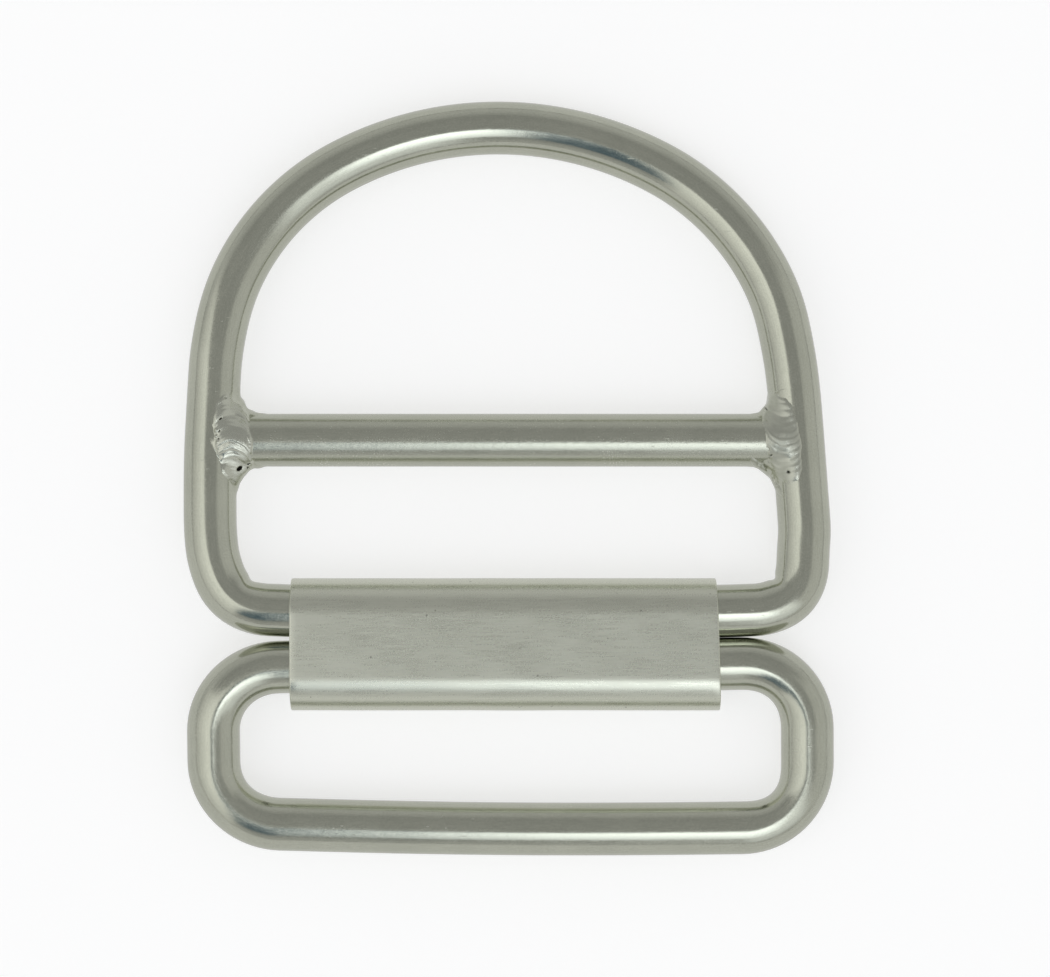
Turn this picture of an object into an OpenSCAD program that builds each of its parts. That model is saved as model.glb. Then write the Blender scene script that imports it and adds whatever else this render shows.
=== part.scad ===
// Hinged D-ring for webbing. A welded D of round stainless wire and a rectangular slide ring
// each swing on one straight bar, and a folded sheet sleeve holds the two bars side by side.
// Sizes are in millimetres. The rings lie flat as they would on a table: X runs along the bars,
// Y points to the crown of the D and Z is up. The origin is under the middle of the whole.

/* [Wire] */
// Diameter of the round wire of both rings
wire_d = 5; // [4:0.1:6]
// Clear width inside both rings, a little over the webbing's width
inner_w = 51; // [44:0.5:60]

/* [D ring] */
// Distance from the D's hinge bar to its crown, middle to middle
d_reach = 45.5; // [40:0.1:52]
// Radius of the D's two bends beside the hinge bar, at the middle of the wire
d_corner_r = 5.7; // [4:0.1:8]
// How much the shoulders' radius is smaller than half the ring's width
shoulder_tightening = 4.8; // [3:0.1:8]
// How much the crown's radius is larger than half the ring's width
crown_flattening = 4; // [1:0.1:7]
// Half the angle that the crown's arc covers
crown_half_angle = 28; // [20:1:40]
// Distance from the D's hinge bar to its crossbar, middle to middle
crossbar_y = 16.2; // [14:0.1:20]

/* [Welds] */
// Reach of the weld's fillet on the crown side of the crossbar
weld_high = 1.6; // [1:0.1:2.5]
// Reach of the weld's fillet on the hinge side of the crossbar
weld_low = 2.7; // [1:0.1:3.5]
// Height of the bead above the wires
weld_crown = 0.4; // [0.2:0.05:0.8]
// Half the width of the bead, measured along the crossbar
weld_half_w = 1.9; // [1.2:0.1:2.4]
// How far the bead falls away towards its two ends
weld_fall = 1.7; // [1:0.1:2.4]

/* [Slide ring] */
// Distance between the two long bars of the slide ring, middle to middle
slide_reach = 15.4; // [14.4:0.1:24]
// Radius of the slide ring's four bends, at the middle of the wire
slide_corner_r = 6.9; // [4:0.1:7.2]

/* [Sleeve] */
// Thickness of the sheet
sheet_t = 0.6; // [0.5:0.05:1.2]
// How far each end of the sleeve stops short of the nearest bend
sleeve_set_back = 0.9; // [0.4:0.1:6]
// Play round the two bars inside the sleeve
bar_play = 0.15; // [0.1:0.01:0.4]
// Gap between the two bars inside the sleeve
bar_gap = 0.3; // [0.2:0.05:1]
// Gap between the slide ring's bar and the sleeve's rounded edge beside it
slide_play = 0.85; // [0.2:0.05:1.5]
// Width of the butt seam along the middle of the underside
seam_w = 0.4; // [0.2:0.05:0.8]
// Depth of the seam
seam_depth = 0.25; // [0.1:0.05:0.4]

/* [Hidden] */
$fn = 64;

// Bends are drawn a hair thinner than the straights, and run a little way into them.
bend_thinning = 0.02;
bend_lap = 0.1;
// The crossbar stops inside the legs, this share of the wire's radius short of their middle.
crossbar_stop_share = 0.3;
// Room past a solid for what cuts or bounds it
spare = 1;

wire_r = wire_d / 2;
half_w = inner_w / 2 + wire_r;

// The D's outline at the middle of the wire: a crown arc, two shoulder arcs, two straight legs,
// two corner arcs and the hinge bar, each tangent to the next. A leg leans by leg_splay.
crown_r = half_w + crown_flattening;
shoulder_r = half_w - shoulder_tightening;
crown_c = [0, d_reach - crown_r];
shoulder_c = crown_c + (crown_r - shoulder_r) * [sin(crown_half_angle), cos(crown_half_angle)];
d_bar_half = half_w - d_corner_r;
corner_c = [d_bar_half, d_corner_r];
centres = shoulder_c - corner_c;
leg_splay = atan2(centres.y, centres.x) - acos((d_corner_r - shoulder_r) / norm(centres));
leg_side = [cos(leg_splay), sin(leg_splay)];
leg_foot = corner_c + d_corner_r * leg_side;
leg_top = shoulder_c + shoulder_r * leg_side;

slide_bar_half = half_w - slide_corner_r;

// The sleeve's section: two rounded edges and a flat between their middles
inner_r = wire_r + bar_play;
outer_r = inner_r + sheet_t;
bar_pitch = wire_d + bar_gap;
sleeve_flat = bar_pitch + wire_r + slide_play - inner_r;
sleeve_len = 2 * (min(d_bar_half, slide_bar_half) - sleeve_set_back);

// At rest the sleeve stands on its underside and each ring leans down to the same surface:
// the slide ring on its far bar, the D on its crown, or on its welds where they touch first.
bar_z = outer_r;
bar_drop = bar_z - wire_r;
d_lean = min(asin(bar_drop / d_reach), asin((bar_drop - weld_crown) / crossbar_y));
slide_lean = asin(bar_drop / slide_reach);

// The whole is centred on the origin, from the crown to the slide ring's far bar.
reach_up = d_reach * cos(d_lean);
reach_down = bar_pitch + slide_reach * cos(slide_lean);
d_hinge_y = (reach_down - reach_up) / 2;
slide_hinge_y = d_hinge_y - bar_pitch;

// Middle of the D's right-hand wire at height y over the hinge bar
function wire_x(y) =
    y < leg_foot.y ? corner_c.x + sqrt(d_corner_r ^ 2 - (y - corner_c.y) ^ 2) :
    y < leg_top.y ? leg_foot.x - (y - leg_foot.y) * tan(leg_splay) :
    shoulder_c.x + sqrt(shoulder_r ^ 2 - (y - shoulder_c.y) ^ 2);

// Radius of an arc that falls by drop at half_chord from its top
function arc_radius(half_chord, drop) = (half_chord ^ 2 + drop ^ 2) / (2 * drop);

module both_sides() {
    children();
    mirror([1, 0, 0]) children();
}

// Straight wire between two points of the XY plane
module straight(from, to) {
    run = to - from;
    translate([from.x, from.y, 0])
        rotate([0, 0, atan2(run.y, run.x)])
            rotate([0, 90, 0])
                cylinder(r = wire_r, h = norm(run));
}

// Wire of radius r along an arc of the XY plane, from one angle to another. Its section starts
// at the bottom, as a straight's does, so that the rims of the two lie evenly in each other.
module arc(centre, radius, from, to, r = wire_r) {
    translate([centre.x, centre.y, 0])
        rotate([0, 0, from])
            rotate_extrude(angle = to - from)
                translate([radius, 0])
                    rotate(-90) circle(r = r);
}

// An arc that joins two thicker wires
module bend(centre, radius, from, to) {
    lap = bend_lap / radius * 180 / PI;
    arc(centre, radius, from - lap, to + lap, wire_r - bend_thinning);
}

module d_loop() {
    straight([-d_bar_half, 0], [d_bar_half, 0]);
    arc(crown_c, crown_r, 90 - crown_half_angle, 90 + crown_half_angle);
    both_sides() {
        bend(corner_c, d_corner_r, -90, leg_splay);
        straight(leg_foot, leg_top);
        bend(shoulder_c, shoulder_r, leg_splay, 90 - crown_half_angle);
    }
}

module crossbar() {
    half = wire_x(crossbar_y) - crossbar_stop_share * wire_r;
    straight([-half, crossbar_y], [half, crossbar_y]);
}

// Corner between the crossbar along X and a leg along Y, filled up to a hollow fillet
module weld_corner(fillet) {
    reach = wire_r + fillet;
    difference() {
        translate([-reach, 0]) square(reach);
        translate([-reach, reach]) circle(r = fillet);
    }
}

// A long bar along Z whose section is a lens: two equal arcs that top out at weld_crown
// over the wire, in Y, and fall by drop at half_chord to each side, in X
module weld_lens(half_chord, drop) {
    radius = arc_radius(half_chord, drop);
    length = 4 * (wire_d + weld_low);
    intersection_for (side = [-1, 1])
        translate([0, side * (radius - wire_r - weld_crown), 0])
            cylinder(r = radius, h = length, center = true);
}

// Bead that joins the crossbar to the right-hand leg, front and back
module weld() {
    translate([wire_x(crossbar_y), crossbar_y, 0])
        intersection() {
            linear_extrude(height = 2 * wire_d, center = true) {
                weld_corner(weld_high);
                mirror([0, 1]) weld_corner(weld_low);
            }
            translate([-wire_r, 0, 0])
                rotate([90, 0, 0]) weld_lens(weld_half_w, weld_crown);
            rotate([90, 0, 90]) weld_lens(wire_r + weld_low, weld_fall);
        }
}

// The welded D, flat, with its hinge bar on the X axis
module d_ring_flat() {
    d_loop();
    crossbar();
    both_sides() weld();
}

module d_ring() {
    color([0.72, 0.72, 0.68])
        translate([0, d_hinge_y, bar_z])
            rotate([-d_lean, 0, 0])
                d_ring_flat();
}

// The slide ring, flat, with its hinge bar on the X axis and its far bar below
module slide_ring_flat() {
    low_y = slide_corner_r - slide_reach;
    for (y = [0, -slide_reach])
        straight([-slide_bar_half, y], [slide_bar_half, y]);
    both_sides() {
        bend([slide_bar_half, -slide_corner_r], slide_corner_r, 0, 90);
        straight([half_w, -slide_corner_r], [half_w, low_y]);
        bend([slide_bar_half, low_y], slide_corner_r, -90, 0);
    }
}

module slide_ring() {
    color([0.72, 0.72, 0.68])
        translate([0, slide_hinge_y, bar_z])
            rotate([slide_lean, 0, 0])
                slide_ring_flat();
}

// A flat-sided oval bar along X. One rounded edge is centred on the X axis, and the other
// lies sleeve_flat away towards -Y.
module oval_bar(radius, length) {
    translate([-length / 2, -sleeve_flat, -radius])
        cube([length, sleeve_flat, 2 * radius]);
    translate([0, -sleeve_flat, 0]) half_round(radius, length, 180);
    half_round(radius, length, 0);
}

// Half a round bar along X, on its +Y side before it is turned about its own axis
module half_round(radius, length, turn) {
    rotate([turn, 0, 0])
        rotate([0, 90, 0])
            rotate_extrude(angle = 180)
                translate([0, -length / 2]) square([radius, length]);
}

module sleeve() {
    through = sleeve_len + 2 * spare;
    color([0.66, 0.66, 0.62])
        translate([0, d_hinge_y, bar_z])
            difference() {
                oval_bar(outer_r, sleeve_len);
                oval_bar(inner_r, through);
                translate([-through / 2, -(sleeve_flat + seam_w) / 2, -outer_r - spare])
                    cube([through, seam_w, seam_depth + spare]);
            }
}

d_ring();
slide_ring();
sleeve();
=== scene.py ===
import math

import bmesh
import bpy
import numpy as np
from mathutils import Matrix


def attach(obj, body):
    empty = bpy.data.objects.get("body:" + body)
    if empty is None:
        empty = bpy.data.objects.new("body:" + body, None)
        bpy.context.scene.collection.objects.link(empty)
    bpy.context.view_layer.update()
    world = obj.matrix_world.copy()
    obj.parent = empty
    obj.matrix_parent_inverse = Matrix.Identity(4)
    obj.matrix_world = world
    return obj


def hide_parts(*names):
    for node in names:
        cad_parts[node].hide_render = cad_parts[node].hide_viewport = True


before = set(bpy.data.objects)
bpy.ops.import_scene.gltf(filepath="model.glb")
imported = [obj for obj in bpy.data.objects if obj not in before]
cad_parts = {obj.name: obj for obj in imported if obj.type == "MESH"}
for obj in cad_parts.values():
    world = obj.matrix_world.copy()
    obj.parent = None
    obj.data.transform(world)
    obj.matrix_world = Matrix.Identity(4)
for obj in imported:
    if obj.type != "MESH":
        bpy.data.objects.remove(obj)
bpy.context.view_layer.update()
mm = 0.001


# A socket that Python's operators work on. Each operator adds its Math node to the tree.
class Num:
    def __init__(self, graph, socket):
        self.graph = graph
        self.socket = socket

    def out(self, name):
        return Num(self.graph, self.socket.node.outputs[name])

    def math(self, operation, *values):
        return self.graph.node("ShaderNodeMath", {"operation": operation}, dict(enumerate(values)))

    def __add__(self, other):
        return self.math("ADD", self, other)

    def __sub__(self, other):
        return self.math("SUBTRACT", self, other)

    def __rsub__(self, other):
        return self.math("SUBTRACT", other, self)

    def __mul__(self, other):
        return self.math("MULTIPLY", self, other)

    def __pow__(self, other):
        return self.math("POWER", self, other)

    def __rpow__(self, other):
        return self.math("POWER", other, self)

    def __neg__(self):
        return self.math("MULTIPLY", self, -1.0)

    __radd__ = __add__
    __rmul__ = __mul__


# A node tree, for shaders or for geometry. Noise scales are per metre.
class Graph:
    def __init__(self, tree):
        self.tree = tree
        tree.nodes.clear()

    # settings are set first, then the sockets' values or links, by name or number
    def node(self, kind, settings=None, sockets=None, out=0):
        made = self.tree.nodes.new(kind)
        for name, value in (settings or {}).items():
            if name == "stops":
                self.setStops(made.color_ramp.elements, value)
            else:
                setattr(made, name, value)
        for name, value in (sockets or {}).items():
            if isinstance(value, Num):
                self.tree.links.new(value.socket, made.inputs[name])
            else:
                made.inputs[name].default_value = value
        return Num(self, made.outputs[out]) if made.outputs else None

    def setStops(self, elements, stops):
        while len(elements) < len(stops):
            elements.new(1.0)
        for element, (position, colour) in zip(elements, stops):
            element.position = position
            element.color = (*colour, 1.0)

    def noise(self, at, scale, detail):
        return self.node("ShaderNodeTexNoise", {}, {"Vector": at, "Scale": scale, "Detail": detail})

    # value carried from low..high to 0..1 with soft ends
    def step(self, value, low, high):
        sockets = {"Value": value, "From Min": low, "From Max": high}
        return self.node("ShaderNodeMapRange", {"interpolation_type": "SMOOTHSTEP"}, sockets)

    def scaled(self, at, factors):
        return self.node("ShaderNodeVectorMath", {"operation": "MULTIPLY"}, {0: at, 1: factors})

    def mixed(self, share, first, second):
        first, second = [x if isinstance(x, Num) else (*x, 1.0) for x in (first, second)]
        return self.node("ShaderNodeMix", {"data_type": "RGBA"}, {0: share, 6: first, 7: second}, out=2)


def newMaterial(name):
    material = bpy.data.materials.new(name)
    material.use_nodes = True
    return material, Graph(material.node_tree)


# Sizes in millimetres, angles in degrees. They are those of the part's source, apart from the
# width, the crossbar's height and the curves, which follow a second reading of the photo.
ringSizes = {
    "wireRadius": 2.5,
    "halfWidth": 28.15,
    "dReach": 45.5,
    "dCornerRadius": 5.5,
    "shoulderTightening": 4.95,
    "crownFlattening": 3.85,
    "crownHalfAngle": 28.0,
    "crossbarHeight": 15.97,
    "crossbarInset": 0.6,
    "slideReach": 15.4,
    "slideCornerRadius": 6.2,
    "dHinge": (-12.406, 3.25),
    "slideHinge": (-17.706, 3.25),
    "dLean": 0.9445,
    "slideLean": 2.7915,
}
# How far the rings are out of true, in millimetres in their own planes. Each triple is a hump's
# middle, width and height. endFade is how far from a ring's middle the shift of its ends sets in
# and is whole.
skewLook = {
    "endFade": (15.0, 23.0),
    "dShear": -0.0237,
    "dShearFrom": 5.3,
    "leftLeg": ((4.0, 2.6, 0.385), (14.5, 5.5, -0.17), (26.0, 3.5, 0.10)),
    "rightLeg": ((0.3, 1.9, -0.45), (5.1, 1.7, 0.30), (25.0, 3.5, 0.20)),
    "leftCrease": (0.84, 0.6, 0.28),
    "rightCrease": (1.6, 0.8, 0.32),
    "creasePower": 0.5,
    "barDip": -0.16,
    "barDipFade": (19.0, 25.0),
    "slideShift": 0.18,
    "slideAcross": (-28.0, -19.0, 0.0, 19.0, 28.0),
    "slideTop": (-0.33, -0.08, 0.02, 0.14, 0.33),
    "slideBottom": (0.50, 0.27, -0.09, -0.03, 0.08),
    "slideLeftIn": (0.10, 0.24),  # at the near bar and at the far one
    "slideRightIn": (0.12, 0.0),
    "slideTopPinch": (0.05, 0.15),  # in the left bend and in the right one
    "slideBottomPinch": (0.15, 0.40),
    "slidePinchPower": 2.0,
    "pinchFocus": 1.5,
}


def softStep(x, low, high):
    t = np.clip((x - low) / (high - low), 0.0, 1.0)
    return t * t * (3.0 - 2.0 * t)


# A smooth hump of a given middle, width and height
def hump(at, shape):
    middle, width, height = shape
    return height * np.exp(-((at - middle) / width) ** 2)


# Both ends of a ring moved inward, each by its own amount
def drawnIn(x, left, right):
    return x - np.sign(x) * np.where(x < 0, left, right) * softStep(np.abs(x), *skewLook["endFade"])


# The D's legs wander from the drawn outline, each by the sum of its humps.
def wandered(x, y):
    left, right = [sum(hump(y, shape) for shape in skewLook[leg]) for leg in ("leftLeg", "rightLeg")]
    return drawnIn(x, left, right)


def arcPoints(centre, radius, start, end, spacing):
    count = max(2, int(abs(math.radians(end - start)) * radius / spacing))
    turns = np.radians(np.linspace(start, end, count + 1))
    return np.stack([centre[0] + radius * np.cos(turns), centre[1] + radius * np.sin(turns)], 1)


def linePoints(start, end, spacing):
    count = max(1, int(np.hypot(end[0] - start[0], end[1] - start[1]) / spacing))
    return np.linspace(start, end, count + 1)


# The D's outline: hinge bar, corner, straight leg, shoulder and crown, each tangent to the next.
def dOutline(s):
    half = s["halfWidth"]
    crownRadius = half + s["crownFlattening"]
    shoulderRadius = half - s["shoulderTightening"]
    crown = np.array([0.0, s["dReach"] - crownRadius])
    turn = math.radians(s["crownHalfAngle"])
    shoulder = crown + (crownRadius - shoulderRadius) * np.array([math.sin(turn), math.cos(turn)])
    corner = np.array([half - s["dCornerRadius"], s["dCornerRadius"]])
    between = shoulder - corner
    splay = math.atan2(between[1], between[0]) - math.acos(
        (s["dCornerRadius"] - shoulderRadius) / np.hypot(*between))
    side = np.array([math.cos(splay), math.sin(splay)])
    return {
        "crown": crown,
        "crownRadius": crownRadius,
        "shoulder": shoulder,
        "shoulderRadius": shoulderRadius,
        "corner": corner,
        "splay": splay,
        "side": side,
        "legFoot": corner + s["dCornerRadius"] * side,
        "legTop": shoulder + shoulderRadius * side,
    }


outline = dOutline(ringSizes)


# The right half of a path and its mirror image, with a pinch at each point: which way the bend's
# middle lies, and how much.
def mirrored(pieces, pinches):
    half = np.concatenate([pieces[0]] + [piece[1:] for piece in pieces[1:]])
    pinch = np.concatenate([pinches[0]] + [piece[1:] for piece in pinches[1:]])
    path = np.concatenate([half, (half * [-1.0, 1.0])[::-1][1:]])
    return path, np.concatenate([pinch, (pinch * [-1.0, 1.0])[::-1][1:]])


# Towards the bend's middle, by 1 halfway round it and by nothing at its ends
def pinchTowards(points, centre, power):
    away = np.array(centre) - points
    ease = np.abs(np.sin(np.linspace(0.0, math.pi, len(points)))) ** power
    return away / np.linalg.norm(away, axis=1)[:, None] * ease[:, None]


# One amount for the left bends and one for the right
def sided(path, amounts):
    return np.where(path[:, :1] < 0, amounts[0], amounts[1])


# A smooth bow through the heights given across the ring
def bowed(path, heights):
    return np.polyval(np.polyfit(skewLook["slideAcross"], heights, len(heights) - 1), path[:, 0])


def dPath(s, spacing):
    o = outline
    splay = math.degrees(o["splay"])
    crownEnd = 90.0 - s["crownHalfAngle"]
    right = [
        linePoints((0.0, 0.0), (o["corner"][0], 0.0), spacing),
        arcPoints(o["corner"], s["dCornerRadius"], -90.0, splay, spacing),
        linePoints(o["legFoot"], o["legTop"], spacing),
        arcPoints(o["shoulder"], o["shoulderRadius"], splay, crownEnd, spacing),
        arcPoints(o["crown"], o["crownRadius"], crownEnd, 90.0, spacing),
    ]
    pinches = [np.zeros(piece.shape) for piece in right]
    pinches[1] = pinchTowards(right[1], o["corner"], skewLook["creasePower"])
    path, pinch = mirrored(right, pinches)
    x, y = path.T
    crease = np.where(x < 0, hump(y, skewLook["leftCrease"]), hump(y, skewLook["rightCrease"]))
    pinch *= crease[:, None]
    dip = (y < s["dCornerRadius"]) * (1.0 - softStep(np.abs(x), *skewLook["barDipFade"]))
    return np.column_stack([wandered(x, y), y + skewLook["barDip"] * dip]), pinch


def slidePath(s, spacing):
    bend = s["slideCornerRadius"]
    x = s["halfWidth"] - bend
    far = s["slideReach"]
    right = [
        linePoints((0.0, 0.0), (x, 0.0), spacing),
        arcPoints((x, -bend), bend, 90.0, 0.0, spacing),
        linePoints((x + bend, -bend), (x + bend, bend - far), spacing),
        arcPoints((x, bend - far), bend, 0.0, -90.0, spacing),
        linePoints((x, -far), (0.0, -far), spacing),
    ]
    pinches = [np.zeros(piece.shape) for piece in right]
    pinches[1] = pinchTowards(right[1], (x, -bend), skewLook["slidePinchPower"])
    pinches[3] = pinchTowards(right[3], (x, bend - far), skewLook["slidePinchPower"])
    path, pinch = mirrored(right, pinches)
    top = bowed(path, skewLook["slideTop"])
    bottom = bowed(path, skewLook["slideBottom"])
    topPinch = sided(path, skewLook["slideTopPinch"])
    bottomPinch = sided(path, skewLook["slideBottomPinch"])
    share = -path[:, 1] / far
    pinch *= np.where(share[:, None] > 0.5, bottomPinch, topPinch)
    leftIn = np.interp(share, (0.0, 1.0), skewLook["slideLeftIn"])
    rightIn = np.interp(share, (0.0, 1.0), skewLook["slideRightIn"])
    x = drawnIn(path[:, 0], leftIn, rightIn) + skewLook["slideShift"]
    y = path[:, 1] + top * (1.0 - share) + bottom * share
    return np.column_stack([x, y]), pinch


# From a ring's own plane, in millimetres, to its place at rest, in metres.
def ringPlace(hinge, lean):
    turned = Matrix.Rotation(math.radians(lean), 4, "X")
    return Matrix.Translation((0.0, hinge[0] * mm, hinge[1] * mm)) @ turned @ Matrix.Scale(mm, 4)


dSkew = Matrix.Identity(4)
dSkew[0][1] = skewLook["dShear"]
dSkew[0][3] = -skewLook["dShear"] * skewLook["dShearFrom"]
dPlace = ringPlace(ringSizes["dHinge"], -ringSizes["dLean"]) @ dSkew
slidePlace = ringPlace(ringSizes["slideHinge"], ringSizes["slideLean"])


def placed(points, place):
    m = np.array(place)
    return points @ m[:3, :3].T + m[:3, 3]


def meshObject(name, points, faces, edges=()):
    mesh = bpy.data.meshes.new(name)
    mesh.from_pydata([tuple(p) for p in points], list(edges), [tuple(f) for f in faces])
    mesh.update()
    made = bpy.data.objects.new(name, mesh)
    bpy.context.scene.collection.objects.link(made)
    return made


# One Geometry Nodes sweep makes both rings and the crossbar. Its lengths are in metres.
def wireSweep():
    tree = bpy.data.node_groups.new("wireSweep", "GeometryNodeTree")
    inputs = (
        ("Path", "NodeSocketGeometry", None),
        ("Wire radius", "NodeSocketFloat", 0.0025),
        ("Sides", "NodeSocketInt", 48),
        ("Unevenness", "NodeSocketFloat", 0.00002),
        ("Unevenness scale", "NodeSocketFloat", 140.0),
        ("Seed", "NodeSocketFloat", 1.0),
        ("Finish", "NodeSocketMaterial", None),
    )
    for name, kind, value in inputs:
        socket = tree.interface.new_socket(name, in_out="INPUT", socket_type=kind)
        if value is not None:
            socket.default_value = value
    tree.interface.new_socket("Wire", in_out="OUTPUT", socket_type="NodeSocketGeometry")
    g = Graph(tree)
    given = g.node("NodeGroupInput")
    length = g.node("GeometryNodeSplineParameter", out="Length")

    def store(shape, name, value, domain="POINT", kind="FLOAT"):
        settings = {"data_type": kind, "domain": domain}
        return g.node("GeometryNodeStoreNamedAttribute", settings,
                      {"Geometry": shape, "Name": name, "Value": value})

    def stored(name):
        return g.node("GeometryNodeInputNamedAttribute", {"data_type": "FLOAT"}, {"Name": name})

    path = g.node("GeometryNodeMeshToCurve", {}, {"Mesh": given.out("Path")})
    path = g.node("GeometryNodeSetCurveNormal", {"mode": "Z_UP"}, {"Curve": path})
    path = store(path, "along", length)
    section = g.node("GeometryNodeCurveArc", {"mode": "RADIUS"}, {
        "Resolution": given.out("Sides") + 1.0, "Radius": given.out("Wire radius"),
        "Start Angle": 0.0, "Sweep Angle": 2 * math.pi})
    section = store(section, "around", length)
    wire = g.node("GeometryNodeCurveToMesh", {}, {"Curve": path, "Profile Curve": section})
    place = g.node("ShaderNodeCombineXYZ", {}, {"X": stored("along"), "Y": stored("around")})
    wire = store(wire, "wireMap", place, "CORNER", "FLOAT2")
    # the section's two ends meet here
    wire = g.node("GeometryNodeMergeByDistance", {}, {"Geometry": wire, "Distance": 1e-6})
    # a drawn and bent wire is never quite round or straight, and no noise here goes past noiseTop
    noiseTop = 0.9
    at = g.node("GeometryNodeInputPosition")
    shifted = g.node("ShaderNodeVectorMath", {"operation": "ADD"}, {
        0: at, 1: g.node("ShaderNodeCombineXYZ", {}, {"Z": given.out("Seed")})})
    lump = g.noise(shifted, given.out("Unevenness scale"), 1.0) - noiseTop
    lump = lump * given.out("Unevenness") * 2.0
    normal = g.node("GeometryNodeInputNormal")
    push = g.node("ShaderNodeVectorMath", {"operation": "SCALE"}, {0: normal, "Scale": lump})
    # the inside of a tight bend is drawn in, more the more it faces the bend's middle
    pinch = g.node("GeometryNodeInputNamedAttribute", {"data_type": "FLOAT_VECTOR"}, {"Name": "pinch"})
    inward = g.node("ShaderNodeVectorMath", {"operation": "NORMALIZE"}, {0: pinch})
    facing = g.node("ShaderNodeVectorMath", {"operation": "DOT_PRODUCT"}, {0: normal, 1: inward},
                    out="Value")
    facing = facing.math("MAXIMUM", facing, 0.0) ** skewLook["pinchFocus"]
    drawn = g.node("ShaderNodeVectorMath", {"operation": "SCALE"}, {0: pinch, "Scale": -facing})
    push = g.node("ShaderNodeVectorMath", {"operation": "ADD"}, {0: push, 1: drawn})
    wire = g.node("GeometryNodeSetPosition", {}, {"Geometry": wire, "Offset": push})
    for name in ("along", "around", "pinch"):
        wire = g.node("GeometryNodeRemoveAttribute", {}, {"Geometry": wire, "Name": name})
    wire = g.node("GeometryNodeSetShadeSmooth", {}, {"Geometry": wire, "Shade Smooth": True})
    wire = g.node("GeometryNodeRealizeInstances", {}, {"Geometry": wire})
    wire = g.node("GeometryNodeSetMaterial", {}, {"Geometry": wire, "Material": given.out("Finish")})
    g.node("NodeGroupOutput", {}, {"Wire": wire})
    return tree


sweepTree = wireSweep()


# Sweeps the wire along a path, keeps the result as a plain mesh and closes its ends.
def sweepWire(name, path, place, sizes, finish, pinch=None):
    points = placed(np.column_stack([path, np.zeros(len(path))]), place)
    edges = [(i, i + 1) for i in range(len(points) - 1)]
    carrier = meshObject(name + "Path", points, (), edges)
    if pinch is not None:
        turned = np.column_stack([pinch, np.zeros(len(pinch))]) @ np.array(place)[:3, :3].T
        mark = carrier.data.attributes.new("pinch", "FLOAT_VECTOR", "POINT")
        mark.data.foreach_set("vector", turned.astype(np.float32).ravel())
    modifier = carrier.modifiers.new("sweep", "NODES")
    modifier.node_group = sweepTree
    values = dict(sizes)
    values["Finish"] = finish
    for item in sweepTree.interface.items_tree:
        if item.in_out == "INPUT" and item.name in values:
            modifier[item.identifier] = values[item.name]
    bpy.context.view_layer.update()
    depsgraph = bpy.context.evaluated_depsgraph_get()
    mesh = bpy.data.meshes.new_from_object(carrier.evaluated_get(depsgraph), depsgraph=depsgraph)
    bpy.data.objects.remove(carrier)
    mesh.name = name
    work = bmesh.new()
    work.from_mesh(mesh)
    bmesh.ops.holes_fill(work, edges=[e for e in work.edges if e.is_boundary], sides=0)
    if work.calc_volume(signed=True) < 0:
        bmesh.ops.reverse_faces(work, faces=work.faces)
    work.to_mesh(mesh)
    work.free()
    made = bpy.data.objects.new(name, mesh)
    bpy.context.scene.collection.objects.link(made)
    print(name, len(mesh.polygons), "faces")
    return made


# Each weld is a distance field meshed as one closed skin. Places are in millimetres from the
# crossing of the leg's and the crossbar's middle lines: inward along the bar, then up towards the
# crown. A pit or a crumb is its place, half length, half width, turn in degrees and depth or height.
weldLeftLook = {
    "side": -1,
    "seed": 3,
    "filletHigh": 2.9,
    "filletLow": 3.3,
    "front": {
        "beads": [
            {"at": (2.32, 0.00), "half": (1.82, 4.50), "slant": -0.11, "height": 0.36},
        ],
        "crests": [-2.75, -1.6, -0.85, -0.04, 1.33, 2.63, 3.9],
        "crestMiddle": 2.1,
        "crestRadius": 1.75,
        "bulge": 1,
        "rippleHeight": 0.056,
        "rippleEdge": 0.30,
        "fineRipple": (0.36, 0.0095),
        "pits": [
            (2.75, -2.71, 0.33, 0.17, 40, 0.36),
            (3.57, -2.30, 0.13, 0.08, 20, 0.16),
            (3.50, -2.63, 0.11, 0.08, 30, 0.16),
            (3.74, -2.22, 0.09, 0.07, 0, 0.12),
            (1.53, 3.90, 0.12, 0.10, 0, 0.16),
            (2.29, 4.55, 0.10, 0.09, 0, 0.14),
            (3.88, 1.87, 0.10, 0.09, 0, 0.14),
            (1.13, 1.93, 0.22, 0.07, 40, 0.16),
            (1.02, 0.78, 0.14, 0.08, 30, 0.13),
            (0.95, 0.05, 0.12, 0.08, 0, 0.13),
        ],
        "crumbs": [
            (0.66, 0.85, 0.26, 0.11, 80, 0.10),
            (0.70, 0.30, 0.22, 0.11, 65, 0.11),
            (0.80, -0.25, 0.20, 0.10, 75, 0.10),
            (0.88, -0.80, 0.18, 0.09, 80, 0.08),
            (0.80, 1.40, 0.24, 0.09, 60, 0.08),
        ],
    },
    "back": {
        "beads": [
            {"at": (2.3, -0.1), "half": (1.9, 4.0), "slant": 0.05, "height": 0.32},
        ],
        "crests": [-3.4, -2.2, -1.05, 0.1, 1.15, 2.3, 3.4],
        "crestMiddle": 2.1,
        "crestRadius": 2.2,
        "bulge": -1,
        "rippleHeight": 0.03,
        "rippleEdge": 0.35,
        "fineRipple": (0.40, 0.0060),
        "pits": [(1.9, 3.2, 0.12, 0.1, 0, 0.15), (3.0, -3.0, 0.2, 0.14, 20, 0.2)],
        "crumbs": [(4.1, 1.2, 0.2, 0.14, 30, 0.1)],
    },
}
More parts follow.
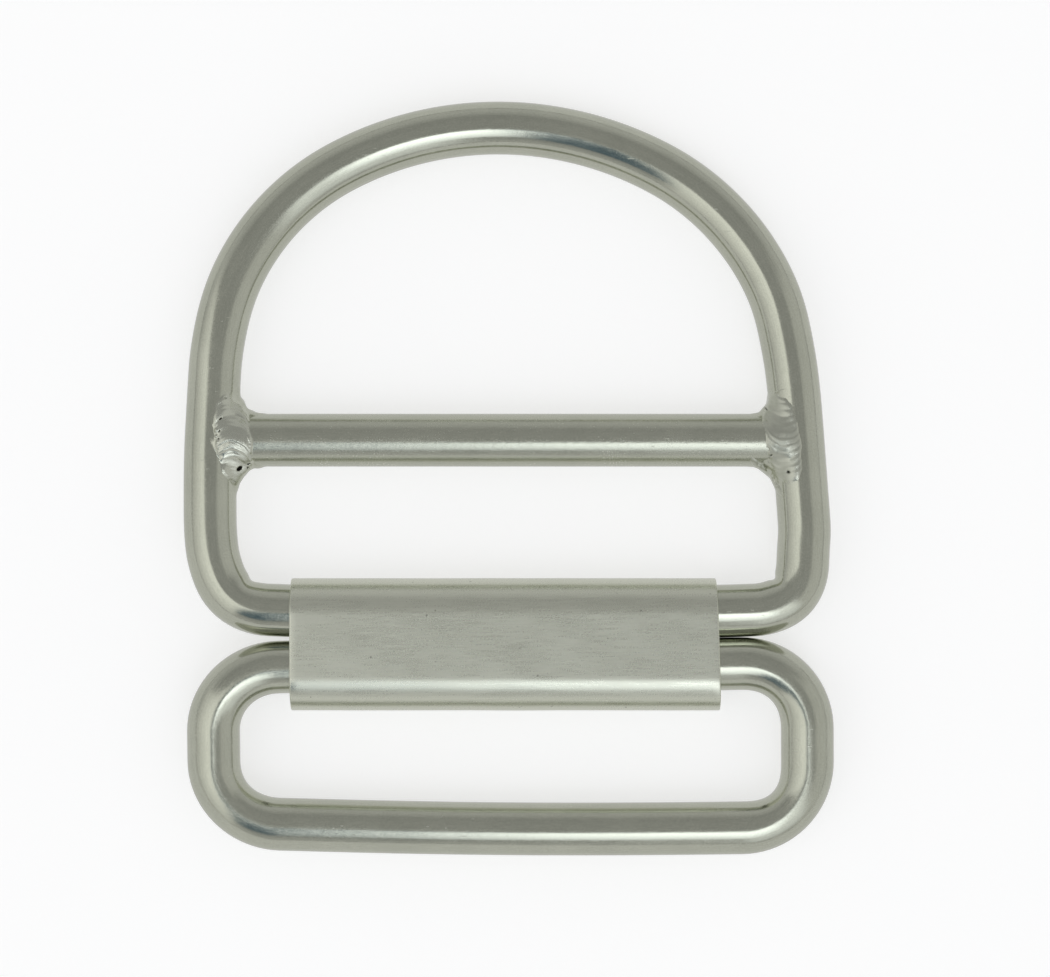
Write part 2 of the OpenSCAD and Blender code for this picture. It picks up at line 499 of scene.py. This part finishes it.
weldRightLook = {
    "side": 1,
    "seed": 8,
    "filletHigh": 2.3,
    "filletLow": 2.9,
    "front": {
        "beads": [
            {"at": (1.62, 0.10), "half": (1.68, 4.50), "slant": 0.13, "height": 0.26},
            {"at": (3.15, -3.45), "half": (0.50, 2.0), "slant": 0.78, "height": 0.15},
        ],
        "crests": [-3.3, -2.75, -2.11, -1.4, -0.75, -0.1, 0.48, 1.2, 1.9, 2.5, 3.1, 3.75, 4.4],
        "crestMiddle": 1.4,
        "crestRadius": 1.8,
        "bulge": -1,
        "rippleHeight": 0.027,
        "rippleEdge": 0.40,
        "fineRipple": (0.30, 0.0040),
        "pits": [
            (1.16, -3.05, 0.20, 0.15, 20, 0.12),
            (3.02, -0.93, 0.20, 0.13, 60, 0.09),
            (2.72, -1.49, 0.18, 0.12, -30, 0.09),
            (3.06, 3.03, 0.45, 0.09, 55, 0.12),
        ],
        "crumbs": [
            (1.75, 4.55, 0.50, 0.09, 165, 0.08),
            (3.90, -2.50, 0.45, 0.10, 150, 0.08),
            (2.85, -3.45, 0.45, 0.10, 125, 0.08),
            (2.35, -4.55, 0.40, 0.10, 105, 0.08),
        ],
    },
    "back": {
        "beads": [
            {"at": (2.2, 0.1), "half": (1.85, 4.1), "slant": -0.05, "height": 0.32},
        ],
        "crests": [-3.3, -2.1, -1.0, 0.15, 1.3, 2.4, 3.5],
        "crestMiddle": 2.0,
        "crestRadius": 2.1,
        "bulge": 1,
        "rippleHeight": 0.03,
        "rippleEdge": 0.35,
        "fineRipple": (0.40, 0.0060),
        "pits": [(2.6, 2.9, 0.13, 0.1, 40, 0.16)],
        "crumbs": [(0.6, -1.4, 0.2, 0.12, 80, 0.1)],
    },
}
# What both welds share. A pair of places is where a soft change begins and ends, and a waver is
# its height and its size.
weldSkin = {
    "spacing": 0.075,
    "sink": 0.02,
    "legReach": 6.9,
    "barReach": 6.5,
    "barStart": 0.05,
    "box": (2.9, 0.2, 3.1),  # past the leg's middle, past both reaches, and to the front and back
    "filletTurn": (-1.0, 1.0),
    "filletStart": (0.0, 1.5),
    "filletWaver": (0.08, 1.6),
    "frontFillet": 0.7,
    "frontFilletFrom": (0.5, 2.3),
    "leastFillet": 0.02,
    "faceFrom": (0.1, 1.3),
    "pitMark": (0.02, 0.12),
    "ovalEdge": (0.30, 1.20),
    "passes": 4,
    "probe": 0.01,
    "leastSlope": 0.2,
    "longestMove": 0.4,
}
beadLook = {
    "edge": (-0.06, 0.30),
    "edgeWaver": (0.07, 2.6),
    "edgeNibble": (0.025, 0.9),
    "endPower": 2.4,
    "domePower": 0.7,
    "domeRound": 0.02,
    "sagLimit": 0.95,
    "crestWaver": (0.05, 1.8),
    "finePatches": (0.6, 0.4, 1.3),
}


def softMin(a, b, k):
    h = np.maximum(k - np.abs(a - b), 0.0)
    return np.minimum(a, b) - h * h / (4.0 * k)


wobbleLook = {
    "waves": 7,
    "spread": (0.6, 1.6),
    "start": (0.0, 6.28),
}


# Smooth unevenness round 0, made of a few waves whose directions and starts follow the seed
def wobble(points, size, seed):
    draw = np.random.default_rng(seed)
    total = np.zeros(len(points[0]))
    for _ in range(wobbleLook["waves"]):
        direction = draw.normal(size=len(points))
        turns = draw.uniform(*wobbleLook["spread"]) * 2 * math.pi
        direction *= turns / (size * np.linalg.norm(direction))
        start = draw.uniform(*wobbleLook["start"])
        total += np.sin(sum(d * p for d, p in zip(direction, points)) + start)
    return total / math.sqrt(wobbleLook["waves"])


def waver(points, shape, seed):
    height, size = shape
    return height * wobble(points, size, seed)


# Height of the bead over the wires, and how far a point is on it. Each ripple rises slowly and
# drops at its crest, bowed round the bead's middle. What is added to the seed keeps wavers apart.
def beadHeight(face, seed, inward, up):
    b = beadLook
    at = (inward, up)
    height = np.zeros(len(up))
    share = np.zeros(len(up))
    for number, bead in enumerate(face["beads"]):
        u = (inward - bead["at"][0] - bead["slant"] * (up - bead["at"][1])) / bead["half"][0]
        v = (up - bead["at"][1]) / bead["half"][1]
        ragged = waver(at, b["edgeWaver"], seed + number) + waver(at, b["edgeNibble"], seed + 9)
        room = 1.0 - u * u - np.abs(v) ** b["endPower"] + ragged
        here = softStep(room, *b["edge"])
        dome = (0.5 * (room + np.sqrt(room * room + b["domeRound"]))) ** b["domePower"]
        height = np.maximum(height, bead["height"] * dome * here)
        share = np.maximum(share, here)
    radius = face["crestRadius"]
    sag = np.minimum(np.abs(inward - face["crestMiddle"]), b["sagLimit"] * radius)
    sag = radius - np.sqrt(radius ** 2 - sag * sag)
    phase = up + face["bulge"] * sag + waver(at, b["crestWaver"], seed + 4)
    order = np.interp(phase, face["crests"], np.arange(len(face["crests"])))
    part = order - np.floor(order)
    if face["bulge"] < 0:
        part = 1.0 - part
    drop = 1.0 - face["rippleEdge"]
    scale = softStep(part, 0.0, drop) - softStep(part, drop, 1.0)
    wave, swing = face["fineRipple"]
    even, patchy, size = b["finePatches"]
    fine = swing * np.sin(2 * math.pi * phase / wave) * (even + patchy * wobble(at, size, seed + 6))
    return height - share * (face["rippleHeight"] * scale + fine), share


# Height of the pits or crumbs, each a small oval with a soft edge
def ovals(rows, inward, up):
    total = np.zeros(len(up))
    for x, y, long, short, turn, tall in rows:
        c, s = math.cos(math.radians(turn)), math.sin(math.radians(turn))
        u = ((inward - x) * c + (up - y) * s) / long
        v = ((up - y) * c - (inward - x) * s) / short
        total = np.maximum(total, tall * (1.0 - softStep(np.hypot(u, v), *weldSkin["ovalEdge"])))
    return total


def legDistance(x, y):
    o = outline
    straight = np.abs((x - o["legFoot"][0]) * o["side"][0] + (y - o["legFoot"][1]) * o["side"][1])
    curved = np.abs(np.hypot(x - o["shoulder"][0], y - o["shoulder"][1]) - o["shoulderRadius"])
    return np.where(y < o["legTop"][1], straight, curved)


legAtBar = outline["legFoot"][0] - (
    ringSizes["crossbarHeight"] - outline["legFoot"][1]) * math.tan(outline["splay"])


# Distance to the skin of leg, bar, fillets and beads at points given as inward, up, front.
def weldField(look, points, marks=False):
    inward, up, front = points.T
    skin = weldSkin
    radius = ringSizes["wireRadius"] - skin["sink"]
    leg = np.hypot(legDistance(legAtBar - inward, ringSizes["crossbarHeight"] + up), front) - radius
    bar = np.maximum(np.hypot(up, front) - radius, skin["barStart"] - inward)
    low = softStep(-up, *skin["filletTurn"])
    fillet = look["filletHigh"] * (1.0 - low) + look["filletLow"] * low
    fillet *= 1.0 + waver((inward, up, front), skin["filletWaver"], look["seed"] + 20)
    facing = softStep(np.abs(front), *skin["frontFilletFrom"])
    fillet = fillet * (1.0 - facing) + skin["frontFillet"] * facing
    fillet = fillet * softStep(inward, *skin["filletStart"]) + skin["leastFillet"]
    field = softMin(leg, bar, fillet)
    bead = np.zeros(len(up))
    pit = np.zeros(len(up))
    for name, way in (("front", 1.0), ("back", -1.0)):
        face = look[name]
        towards = softStep(way * front, *skin["faceFrom"])
        height, share = beadHeight(face, look["seed"] + (way < 0) * 50, inward, up)
        deep = ovals(face["pits"], inward, up)
        field = field - towards * (height + ovals(face["crumbs"], inward, up) - deep)
        bead = np.maximum(bead, towards * share)
        # how deep a pit is, which the weld finish turns into painted shade
        pit = np.maximum(pit, towards * softStep(deep, *skin["pitMark"]))
    field = np.maximum(field, np.abs(up) - skin["legReach"])
    field = np.maximum(field, inward - skin["barReach"])
    return (field, bead, pit) if marks else field


# Surface nets: one point in each cell that the skin crosses, then drawn onto the skin.
def skinOf(field, low, high, skin):
    spacing, probe = skin["spacing"], skin["probe"]
    unit = np.eye(3, dtype=int)
    axes = [np.arange(a, b + spacing, spacing) for a, b in zip(low, high)]
    grid = np.stack(np.meshgrid(*axes, indexing="ij"), -1)
    values = field(grid.reshape(-1, 3)).reshape(grid.shape[:3])
    total = np.zeros(tuple(n - 1 for n in values.shape) + (3,))
    count = np.zeros(total.shape[:3], int)
    rings = []
    for axis in range(3):
        lower = values.take(range(values.shape[axis] - 1), axis)
        upper = values.take(range(1, values.shape[axis]), axis)
        found = np.argwhere((lower < 0) != (upper < 0))
        a, b = lower[tuple(found.T)], upper[tuple(found.T)]
        crossing = grid[tuple(found.T)]
        crossing[:, axis] += spacing * a / (a - b)
        u, v = unit[(axis + 1) % 3], unit[(axis + 2) % 3]
        cells = [found, found - u, found - u - v, found - v]
        for cell in cells:
            np.add.at(total, tuple(cell.T), crossing)
            np.add.at(count, tuple(cell.T), 1)
        rings.append((np.stack(cells, 1), a < 0))
    used = count > 0
    number = np.full(count.shape, -1)
    number[used] = np.arange(used.sum())
    points = total[used] / count[used][:, None]
    faces = []
    for cells, outward in rings:
        quad = number[tuple(cells.reshape(-1, 3).T)].reshape(-1, 4)
        faces.append(np.where(outward[:, None], quad, quad[:, ::-1]))
    longest = skin["longestMove"] * spacing
    for _ in range(skin["passes"]):
        here = field(points)
        slope = np.stack([field(points + d) - field(points - d) for d in unit * probe], 1) / (2 * probe)
        move = here[:, None] * slope / np.maximum((slope ** 2).sum(1), skin["leastSlope"])[:, None]
        points -= np.clip(move, -longest, longest)
    return points, np.concatenate(faces)


def makeWeld(name, look, finish):
    skin = weldSkin
    outward, margin, depth = skin["box"]
    low = (-outward, -skin["legReach"] - margin, -depth)
    high = (skin["barReach"] + margin, skin["legReach"] + margin, depth)
    points, faces = skinOf(lambda p: weldField(look, p), low, high, skin)
    _, bead, pit = weldField(look, points, marks=True)
    flat = points.copy()
    flat[:, 0] = look["side"] * (legAtBar - points[:, 0])
    flat[:, 1] = ringSizes["crossbarHeight"] + points[:, 1]
    flat[:, 0] = wandered(flat[:, 0], flat[:, 1])
    if look["side"] > 0:
        faces = faces[:, ::-1]
    made = meshObject(name, placed(flat, dPlace), faces)
    for label, values in (("bead", bead), ("pit", pit)):
        mark = made.data.attributes.new(label, "FLOAT", "POINT")
        mark.data.foreach_set("value", values.astype(np.float32))
    made.data.polygons.foreach_set("use_smooth", [True] * len(faces))
    made.data.materials.append(finish)
    print(name, len(faces), "faces")
    return made


# The sleeve is folded sheet round both bars, swept as a wall section with rounded cut edges. It is
# in millimetres. The steps are where the section has its points: close together at the seam, and
# stepLength apart from there on.
sleeveLook = {
    "length": 40.2,
    "sheet": 0.5,  # thinner than the part's on its inner side, so that the bars clear it
    "relief": 0.45,
    "reliefFrom": (1.0, 3.0),
    "outerRadius": 3.25,
    "flat": 6.0,
    "cutEdge": 0.13,
    "cutEdgeStep": 0.04,
    "skew": 0.20,
    "shift": (-0.32, -0.29),
    "unevenness": 0.007,
    "unevennessSize": 6.0,
    "unevennessTop": 2.0,
    "seed": 21,
    "seamWidth": 0.4,
    "seamDepth": 0.25,
    "seamEdge": (0.3, 1.1),
    "seamSteps": (0.0, 0.06, 0.12, 0.17, 0.22, 0.3, 0.45, 0.7, 1.0),
    "stepLength": 0.25,
    "lastStep": 1.1,
    "stepsAcross": 64,
}


# The section's middle line, from the seam under the sleeve round to the seam again.
def sleeveSection(look):
    radius = look["outerRadius"] - look["sheet"] / 2
    flat = look["flat"]
    half = flat / 2
    bend = math.pi * radius
    whole = 2 * flat + 2 * bend
    near = np.array(look["seamSteps"])
    step = look["stepLength"]
    steps = np.arange(near[-1] + step, whole - look["lastStep"], step)
    along = np.unique(np.concatenate([near, steps, whole - near[1:]]))
    place = np.zeros((len(along), 2))
    normal = np.zeros((len(along), 2))
    for i, s in enumerate(along):
        if s < half:
            place[i], normal[i] = (-s, -radius), (0, -1)
        elif s < half + bend:
            turn = -math.pi / 2 - (s - half) / radius
            normal[i] = (math.cos(turn), math.sin(turn))
            place[i] = radius * normal[i] + (-half, 0)
        elif s < half + bend + flat:
            place[i], normal[i] = (s - half - bend - half, radius), (0, 1)
        elif s < half + 2 * bend + flat:
            turn = math.pi / 2 - (s - half - bend - flat) / radius
            normal[i] = (math.cos(turn), math.sin(turn))
            place[i] = radius * normal[i] + (half, 0)
        else:
            place[i], normal[i] = (whole - s, -radius), (0, -1)
    return along, whole, place, normal


# The sheet cut along the sleeve: outer face, rounded end, inner face, rounded end.
def sheetSection(look):
    half, wall, edge = look["length"] / 2, look["sheet"] / 2, look["cutEdge"]
    run = np.linspace(-half + edge, half - edge, look["stepsAcross"])
    ends = []
    for centre, start in (((half - edge, wall - edge), 90), ((half - edge, edge - wall), 0)):
        ends.append(arcPoints(centre, edge, start, start - 90, look["cutEdgeStep"])[1:-1])
    right = np.concatenate([ends[0], [[half, wall - edge], [half, edge - wall]], ends[1]])
    outer = np.column_stack([run, np.full(len(run), wall)])
    return np.concatenate([outer, right, -outer, -right])


def makeSleeve(name, look, finish):
    along, whole, place, normal = sleeveSection(look)
    wall = sheetSection(look)
    rows, columns = len(along), len(wall)
    x, t = wall[:, 0][None, :], wall[:, 1][None, :]
    y, z = place[:, 0][:, None], place[:, 1][:, None]
    seamGap = np.minimum(along, whole - along)[:, None]
    groove = 1.0 - softStep(seamGap / (look["seamWidth"] / 2), *look["seamEdge"])
    t = t - look["seamDepth"] * groove * (t > 0)
    # the inner face gives way where the D's bar turns
    t = np.where(t < 0, t * (1.0 - look["relief"] * softStep(y, *look["reliefFrom"])), t)
    at = [np.broadcast_to(values, (rows, columns)).ravel() for values in (x, y, z)]
    lump = wobble(at, look["unevennessSize"], look["seed"]).reshape(rows, columns)
    t = t + look["unevenness"] * (lump - look["unevennessTop"])
    share = y / (look["flat"] / 2 + look["outerRadius"])
    x = x - look["skew"] * share * softStep(x, 0.0, look["length"] / 2)
    shiftX, shiftY = look["shift"]
    hingeY, hingeZ = ringSizes["dHinge"]
    middle = hingeY - look["flat"] / 2 + shiftY
    points = np.stack([x + shiftX, middle + y + normal[:, :1] * t, hingeZ + z + normal[:, 1:] * t], -1)
    i, j = np.meshgrid(np.arange(rows), np.arange(columns), indexing="ij")
    quad = [i * columns + j, i * columns + (j + 1) % columns,
            (i + 1) % rows * columns + (j + 1) % columns, (i + 1) % rows * columns + j]
    faces = np.stack([q.ravel() for q in quad], 1)
    made = meshObject(name, points.reshape(-1, 3) * mm, faces)
    work = bmesh.new()
    work.from_mesh(made.data)
    if work.calc_volume(signed=True) < 0:
        bmesh.ops.reverse_faces(work, faces=work.faces)
    work.to_mesh(made.data)
    work.free()
    made.data.polygons.foreach_set("use_smooth", [True] * len(faces))
    made.data.materials.append(finish)
    print(name, len(faces), "faces")
    return made


def metalNode(g, colour, roughness, height):
    bump = g.node("ShaderNodeBump", {}, {"Strength": 1.0, "Distance": mm, "Height": height})
    shader = g.node("ShaderNodeBsdfPrincipled", {}, {
        "Base Color": colour, "Metallic": 1.0, "Roughness": roughness, "Normal": bump})
    g.node("ShaderNodeOutputMaterial", {}, {"Surface": shader})


# Drawn wire: grain along its length, a few scratches across it and soft clouds. Grain and dents
# are scaled along the wire and round it, scratches in X, Y and Z.
wireSteelLook = {
    "colour": (0.580, 0.595, 0.500),
    "darker": (0.505, 0.520, 0.435),
    "dRing": {"roughness": (0.10, 0.19), "dentDepth": 0.0015},
    "crossbar": {"roughness": (0.16, 0.30), "dentDepth": 0.006},
    "slideRing": {"roughness": (0.13, 0.24), "dentDepth": 0.004},
    "grainScale": (700.0, 9000.0, 1.0),
    "dentScale": (1500.0, 3200.0, 1.0),
    "satinScale": 7000.0,
    "cloudScale": 220.0,
    "cloudShare": 0.3,
    "grainShare": 0.3,
    "satinShare": 0.4,
    "roughEdge": (0.25, 0.75),
    "colourEdge": (0.35, 0.65),
    "grainDepth": 0.0012,
    "satinDepth": 0.0012,
    "scratchScale": (900.0, 5200.0, 900.0),
    "scratchEdge": (0.70, 0.76),
    "patchScale": 130.0,
    "patchEdge": (0.52, 0.62),
    "scratchDepth": 0.004,
    "scratchRoughness": 0.1,
}


def wireFinish(name, look, piece):
    material, g = newMaterial(name)
    at = g.node("ShaderNodeTexCoord", out="Object")
    run = g.node("ShaderNodeUVMap", {"uv_map": "wireMap"})
    grain = g.noise(g.scaled(run, look["grainScale"]), 1.0, 3.0)
    satin = g.noise(at, look["satinScale"], 2.0)
    dents = g.noise(g.scaled(run, look["dentScale"]), 1.0, 2.0)
    cloud = g.noise(at, look["cloudScale"], 3.0)
    scratch = g.noise(g.scaled(at, look["scratchScale"]), 1.0, 1.0)
    patch = g.noise(at, look["patchScale"], 1.0)
    scratches = g.step(scratch, *look["scratchEdge"]) * g.step(patch, *look["patchEdge"])
    level = cloud * look["cloudShare"] + grain * look["grainShare"] + satin * look["satinShare"]
    low, high = look[piece]["roughness"]
    rough = g.step(level, *look["roughEdge"]) * (high - low) + low
    rough = rough + scratches * look["scratchRoughness"]
    colour = g.mixed(g.step(level, *look["colourEdge"]), look["darker"], look["colour"])
    height = grain * look["grainDepth"] + satin * look["satinDepth"]
    height = height + dents * look[piece]["dentDepth"] + scratches * look["scratchDepth"]
    metalNode(g, colour, rough, height)
    return material


# Brushed sheet: fine lines along the sleeve, faint mottling, a few dark specks
sheetSteelLook = {
    "colour": (0.745, 0.762, 0.650),
    "darker": (0.678, 0.694, 0.590),
    "roughness": (0.24, 0.34),
    "brushScale": (420.0, 8000.0, 8000.0),
    "mottleScale": (160.0, 420.0, 420.0),
    "satinScale": 6000.0,
    "mottleShare": 0.25,
    "brushShare": 0.5,
    "satinShare": 0.25,
    "roughEdge": (0.3, 0.7),
    "colourEdge": (0.32, 0.68),
    "brushDepth": 0.0011,
    "satinDepth": 0.00015,
    "speckScale": 2300.0,
    "speckEdge": (0.850, 0.875),
    "speckColour": (0.12, 0.12, 0.10),
    "speckShare": 0.45,
}


def sheetFinish(name, look):
    material, g = newMaterial(name)
    at = g.node("ShaderNodeTexCoord", out="Object")
    brushed = g.noise(g.scaled(at, look["brushScale"]), 1.0, 3.0)
    satin = g.noise(at, look["satinScale"], 2.0)
    mottle = g.noise(g.scaled(at, look["mottleScale"]), 1.0, 3.0)
    level = mottle * look["mottleShare"] + brushed * look["brushShare"] + satin * look["satinShare"]
    low, high = look["roughness"]
    rough = g.step(level, *look["roughEdge"]) * (high - low) + low
    colour = g.mixed(g.step(level, *look["colourEdge"]), look["darker"], look["colour"])
    specks = g.step(g.noise(at, look["speckScale"], 0.0), *look["speckEdge"])
    colour = g.mixed(specks * look["speckShare"], colour, look["speckColour"])
    metalNode(g, colour, rough, brushed * look["brushDepth"] + satin * look["satinDepth"])
    return material


# Weld metal: satin on the bead, dark with painted shade in the pits, and like the plain wire beside it
weldSteelLook = {
    "left": {"colour": (0.640, 0.655, 0.565), "roughness": (0.21, 0.34)},
    "right": {"colour": (0.575, 0.590, 0.505), "roughness": (0.30, 0.45)},
    "cloudScale": 700.0,
    "satinScale": 6500.0,
    "roughShares": (0.5, 0.5),
    "roughEdge": (0.3, 0.7),
    "plainShares": (0.4, 0.6),
    "plainEdge": (0.35, 0.65),
    "beadShare": 0.85,
    # painted shade for the pits: how much of it covers them, and its near-black colour
    "pitShadeShare": 0.95,
    "pitShadeColour": (0.02, 0.018, 0.014),
    "pitRoughness": 0.4,
    "satinDepth": 0.0007,
}


def weldFinish(name, look, side, plain):
    material, g = newMaterial(name)
    at = g.node("ShaderNodeTexCoord", out="Object")
    pit = g.node("ShaderNodeAttribute", {"attribute_name": "pit"}, out="Fac")
    bead = g.node("ShaderNodeAttribute", {"attribute_name": "bead"}, out="Fac")
    cloud = g.noise(at, look["cloudScale"], 3.0)
    satin = g.noise(at, look["satinScale"], 2.0)
    low, high = look[side]["roughness"]
    plainLow, _ = plain["dRing"]["roughness"]
    cloudShare, satinShare = look["roughShares"]
    rough = g.step(cloud * cloudShare + satin * satinShare, *look["roughEdge"]) * (high - low) + low
    rough = rough * bead + (1.0 - bead) * (rough - low + plainLow)
    cloudShare, satinShare = look["plainShares"]
    level = g.step(cloud * cloudShare + satin * satinShare, *look["plainEdge"])
    colour = g.mixed(level, plain["darker"], plain["colour"])
    colour = g.mixed(bead * look["beadShare"], colour, look[side]["colour"])
    # painted shade: each pit is darkened towards near black by its depth, standing in for the shade
    # inside it
    colour = g.mixed(pit * look["pitShadeShare"], colour, look["pitShadeColour"])
    metalNode(g, colour, rough + pit * look["pitRoughness"], satin * look["satinDepth"])
    return material


wireSteel = wireFinish("wireSteel", wireSteelLook, "dRing")
barSteel = wireFinish("barSteel", wireSteelLook, "crossbar")
slideSteel = wireFinish("slideSteel", wireSteelLook, "slideRing")
leftWeldSteel = weldFinish("leftWeldSteel", weldSteelLook, "left", wireSteelLook)
rightWeldSteel = weldFinish("rightWeldSteel", weldSteelLook, "right", wireSteelLook)
sheetSteel = sheetFinish("sheetSteel", sheetSteelLook)
print("finishes made")

wireSweepSizes = {
    "Wire radius": ringSizes["wireRadius"] * mm,
    "Sides": 56,
    "Unevenness": 0.00001,
    "Unevenness scale": 120.0,
}
barUnevenness = 0.000006
spacing = 0.45  # of the points along a path, in millimetres

ringPath, ringPinch = dPath(ringSizes, spacing)
dWire = sweepWire("dWire", ringPath, dPlace, {**wireSweepSizes, "Seed": 1.0}, wireSteel, ringPinch)
barHalf = legAtBar - ringSizes["crossbarInset"]
barHeight = ringSizes["crossbarHeight"]
barPath = linePoints((-barHalf, barHeight), (barHalf, barHeight), spacing)
barSizes = {**wireSweepSizes, "Seed": 2.0, "Unevenness": barUnevenness}
crossbar = sweepWire("crossbar", barPath, dPlace, barSizes, barSteel)
ringPath, ringPinch = slidePath(ringSizes, spacing)
slideSizes = {**wireSweepSizes, "Seed": 3.0}
slideWire = sweepWire("slideWire", ringPath, slidePlace, slideSizes, slideSteel, ringPinch)
weldLeft = makeWeld("weldLeft", weldLeftLook, leftWeldSteel)
weldRight = makeWeld("weldRight", weldRightLook, rightWeldSteel)
sleeveShell = makeSleeve("sleeveShell", sleeveLook, sheetSteel)

for piece, body, slot in (
    (dWire, "d_ring", "ring_wire"),
    (crossbar, "d_ring", "ring_wire"),
    (weldLeft, "d_ring", "ring_wire"),
    (weldRight, "d_ring", "ring_wire"),
    (slideWire, "slide_ring", "ring_wire"),
    (sleeveShell, "sleeve", "sleeve_sheet"),
):
    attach(piece, body)
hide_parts("d_ring")
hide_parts("slide_ring")
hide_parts("sleeve")
print("pieces on their bodies")

# The room is plain and pale. Brightness is in the scene's own units, where the floor is near 1.
studio = {
    "floorSize": 3.0,
    "floorSides": 96,
    "floorColour": (0.62, 0.62, 0.62),
    "floorMottle": 0.99,
    "floorMottleScale": 3.0,
    "floorRoughness": 0.9,
    "floorGlow": 0.60,
    # brightness from the horizon up to straight overhead
    "ceiling": (
        (0.0, 0.56), (0.24, 0.54), (0.48, 0.46), (0.66, 0.345),
        (0.84, 0.36), (0.95, 0.375), (1.0, 0.365)),
    "sweep": 0.68,
    "sweepLean": (0.135, 0.39, -0.03),
    "sweepEdge": (0.22, 0.020, 0.4),  # its brightness, its width and how much of that is full
    "backdrop": (0.93, 0.93, 0.93),
}
# Azimuth counts from +X towards +Y and tilt from straight up, in degrees. Brightness goes from
# the least tilt to the most. A cut trims a box to one side of a plane, and points to that side.
softboxes = {
    "fill": {"azimuth": (308, 390), "tilt": (34, 82), "soft": 16, "bright": (0.56, 0.62),
             "colour": (1.0, 1.0, 0.99)},
    "side": {"azimuth": (120, 236), "tilt": (11, 76), "soft": 6, "bright": (1.18, 0.60),
             "colour": (1.0, 0.995, 0.985), "cut": (-0.50, -0.866, -0.12), "cutSoft": 0.05},
    "wide": {"azimuth": (276, 320), "tilt": (18, 66), "soft": 12, "bright": (1.20, 0.78),
             "colour": (0.98, 1.0, 1.03)},
    "key": {"azimuth": (265, 298), "tilt": (12.5, 44), "soft": 6, "bright": (2.75, 1.10),
            "colour": (0.965, 1.0, 1.05)},
    "flag": {"azimuth": (237, 263), "tilt": (11, 47), "soft": 6, "bright": (1.0, 1.0),
             "colour": (0.098, 0.145, 0.188)},
}


def between(g, value, span, soft):
    low, high = span
    opens = g.step(value, low - soft / 2, low + soft / 2)
    closes = g.step(value, high - soft / 2, high + soft / 2)
    return opens * (1.0 - closes)


def makeRoom(look, boxes):
    world = bpy.data.worlds.new("room")
    world.use_nodes = True
    bpy.context.scene.world = world
    g = Graph(world.node_tree)
    towards = g.node("ShaderNodeTexCoord", out="Generated")
    way = g.node("ShaderNodeSeparateXYZ", {}, {"Vector": towards})
    x, y, z = way.out("X"), way.out("Y"), way.out("Z")
    degrees = 180.0 / math.pi
    azimuth = x.math("ARCTAN2", x, -y) * degrees + 270.0
    tilt = z.math("ARCCOSINE", z) * degrees
    stops = [(at, (level,) * 3) for at, level in look["ceiling"]]
    colour = g.node("ShaderNodeValToRGB", {"stops": stops}, {"Fac": z})
    for box in boxes.values():
        nearest, furthest = box["tilt"]
        first, last = box["bright"]
        at = g.node("ShaderNodeMapRange", {}, {
            "Value": tilt, "From Min": furthest, "From Max": nearest, "To Min": 0.0, "To Max": 1.0})
        at = at * (first - last) + last
        light = g.node("ShaderNodeVectorMath", {"operation": "SCALE"}, {0: box["colour"], "Scale": at})
        soft = box["soft"]
        share = between(g, azimuth, box["azimuth"], soft) * between(g, tilt, box["tilt"], soft)
        if "cut" in box:
            cutX, cutY, cutZ = box["cut"]
            share = share * g.step(x * cutX + y * cutY + z * cutZ, 0.0, box["cutSoft"])
        colour = g.mixed(share, colour, light)
    # the floor's paper curls up towards the front, with a thin dark edge
    alongX, alongY, offset = look["sweepLean"]
    above = z.math("MINIMUM", z, z + y * alongY + x * alongX + offset)
    dark, width, core = look["sweepEdge"]
    colour = g.mixed(1.0 - g.step(above, -width, 0.0), colour, (look["sweep"],) * 3)
    edge = 1.0 - g.step(above.math("ABSOLUTE", above), width * core, width)
    colour = g.mixed(edge, colour, (dark,) * 3)
    seen = g.node("ShaderNodeLightPath", out="Is Camera Ray")
    colour = g.mixed(seen, colour, look["backdrop"])
    background = g.node("ShaderNodeBackground", {}, {"Color": colour})
    g.node("ShaderNodeOutputWorld", {}, {"Surface": background})


def makeFloor(look):
    sides = look["floorSides"]
    turns = np.linspace(0, 2 * math.pi, sides + 1)[:-1]
    rim = np.column_stack([np.cos(turns), np.sin(turns), np.zeros(sides)]) * look["floorSize"]
    floor = meshObject("floor", rim, [tuple(range(sides))])
    material, g = newMaterial("paleFloor")
    at = g.node("ShaderNodeTexCoord", out="Object")
    cloud = g.noise(at, look["floorMottleScale"], 2.0)
    darker = tuple(c * look["floorMottle"] for c in look["floorColour"])
    colour = g.mixed(cloud, darker, look["floorColour"])
    shader = g.node("ShaderNodeBsdfPrincipled", {}, {
        "Base Color": colour, "Roughness": look["floorRoughness"],
        "Emission Color": (1.0, 1.0, 1.0, 1.0), "Emission Strength": look["floorGlow"]})
    g.node("ShaderNodeOutputMaterial", {}, {"Surface": shader})
    floor.data.materials.append(material)
    floor.visible_glossy = False  # the metal mirrors the plain room only, so its rims stay even


makeRoom(studio, softboxes)
makeFloor(studio)

# Straight above, in millimetres
cameraLook = {
    "aim": (1.6, -1.0),
    "height": 313.25,
    "lens": 112.66,
    "sensor": 36.0,
    "clip": (0.01, 10.0),  # in metres
}
camera = bpy.data.objects.new("camera", bpy.data.cameras.new("camera"))
bpy.context.scene.collection.objects.link(camera)
aimX, aimY = cameraLook["aim"]
camera.location = (aimX * mm, aimY * mm, cameraLook["height"] * mm)
camera.data.lens = cameraLook["lens"]
camera.data.sensor_width = cameraLook["sensor"]
camera.data.clip_start, camera.data.clip_end = cameraLook["clip"]
bpy.context.scene.camera = camera
bpy.context.scene.view_settings.view_transform = "Standard"
print("studio lit")
